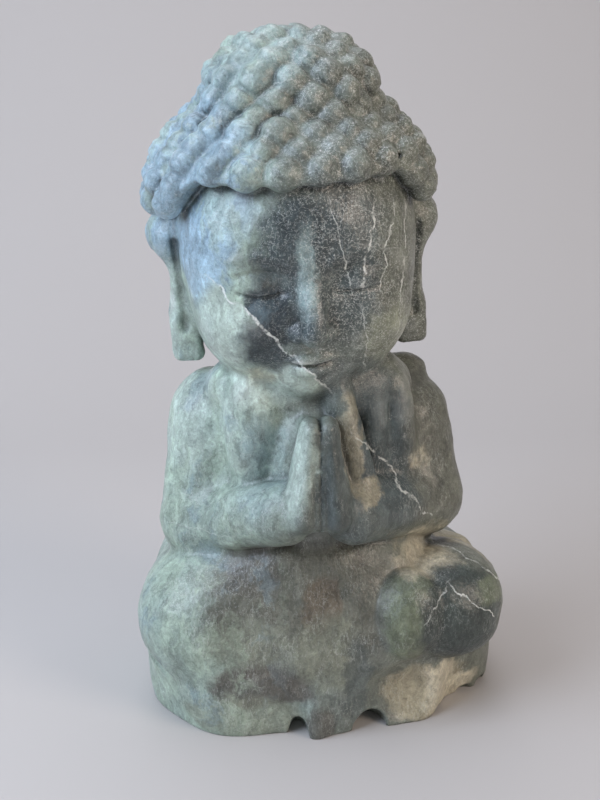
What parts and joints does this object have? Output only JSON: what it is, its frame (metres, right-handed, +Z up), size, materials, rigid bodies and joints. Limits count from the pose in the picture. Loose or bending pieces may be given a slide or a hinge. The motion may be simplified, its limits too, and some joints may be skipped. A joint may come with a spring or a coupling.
{
  "type": "stone buddha statue",
  "caption": "Carved green stone statue of a praying child Buddha: large head with snail curls and topknot, palms joined under the chin, folded legs in a robe, flat base.",
  "frame": {"origin": "middle of the bounding box, on the flat underside that the statue stands on", "axes": "+Z up through the head; the figure looks towards -Y; its own left hand is on the +X side"},
  "size_m": [0.1446, 0.114, 0.2608],
  "materials": {
    "green_stone": "hand polished, mottled grey-green stone with pale veins"
  },
  "bodies": {
    "root": {"buddha_carving": "green_stone"}
  },
  "joints": []
}
